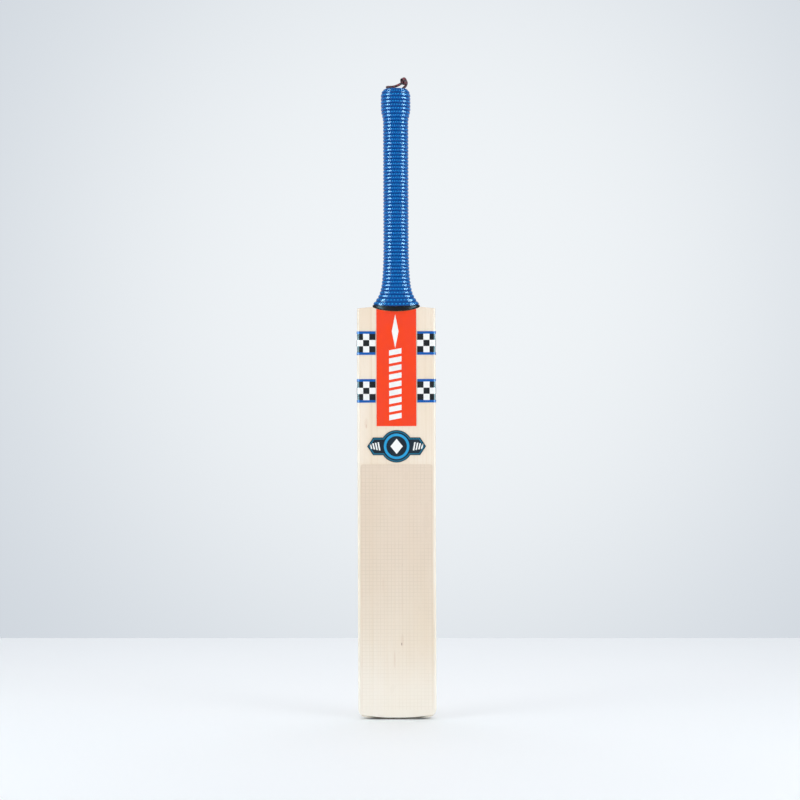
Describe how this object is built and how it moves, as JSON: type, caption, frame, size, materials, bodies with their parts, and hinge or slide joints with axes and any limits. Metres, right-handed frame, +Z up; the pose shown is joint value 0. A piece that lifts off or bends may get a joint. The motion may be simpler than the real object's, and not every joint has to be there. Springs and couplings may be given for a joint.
{
  "type": "cricket bat",
  "caption": "Upright willow bat with a V-spliced, rubber-sprung cane handle, ribbed blue rubber grip, toe guard, face sheet and plain vinyl stickers.",
  "frame": {"origin": "the middle of the toe's underside, straight below the handle's axis; the part stands on it", "axes": "+Z up along the handle, +X to the right of someone looking at the hitting face, which faces -Y; the spine is on +Y"},
  "size_m": [0.108, 0.0662, 0.8755],
  "materials": {
    "willow": "lightly oiled pale willow with straight vertical grain",
    "cane": "laminated manau cane, planed",
    "spring_rubber": "matt black rubber strip",
    "binding_twine": "close-wound waxed twine",
    "grip_rubber": "blue rubber with rows of small raised nubs, satin",
    "band_rubber": "black rubber, semi-gloss",
    "guard_rubber": "dark taupe rubber, matt",
    "clear_sheet": "clear film with a fine square mesh",
    "red_vinyl": "red-orange vinyl with plain white shapes",
    "check_vinyl": "black and white checks between two blue stripes",
    "badge_vinyl": "dark navy vinyl with blue and white shapes",
    "cord": "twisted dark red and black cord"
  },
  "bodies": {
    "root": {"blade": "willow", "twine_binding": "binding_twine", "grip": "grip_rubber", "grip_band": "band_rubber", "toe_guard": "guard_rubber", "face_sheet": "clear_sheet", "front_panel": "red_vinyl", "back_panel": "red_vinyl", "badge": "badge_vinyl", "hang_cord": "cord", "cord_knot": "cord", "cane_strip_1_left": "cane", "cane_strip_1_middle": "cane", "cane_strip_1_right": "cane", "cane_strip_2_left": "cane", "cane_strip_2_middle": "cane", "cane_strip_2_right": "cane", "cane_strip_3_left": "cane", "cane_strip_3_middle": "cane", "cane_strip_3_right": "cane", "cane_strip_4_left": "cane", "cane_strip_4_middle": "cane", "cane_strip_4_right": "cane", "rubber_spring_front": "spring_rubber", "rubber_spring_middle": "spring_rubber", "rubber_spring_back": "spring_rubber", "edge_check_upper_left": "check_vinyl", "edge_check_upper_right": "check_vinyl", "edge_check_lower_left": "check_vinyl", "edge_check_lower_right": "check_vinyl"}
  },
  "joints": []
}
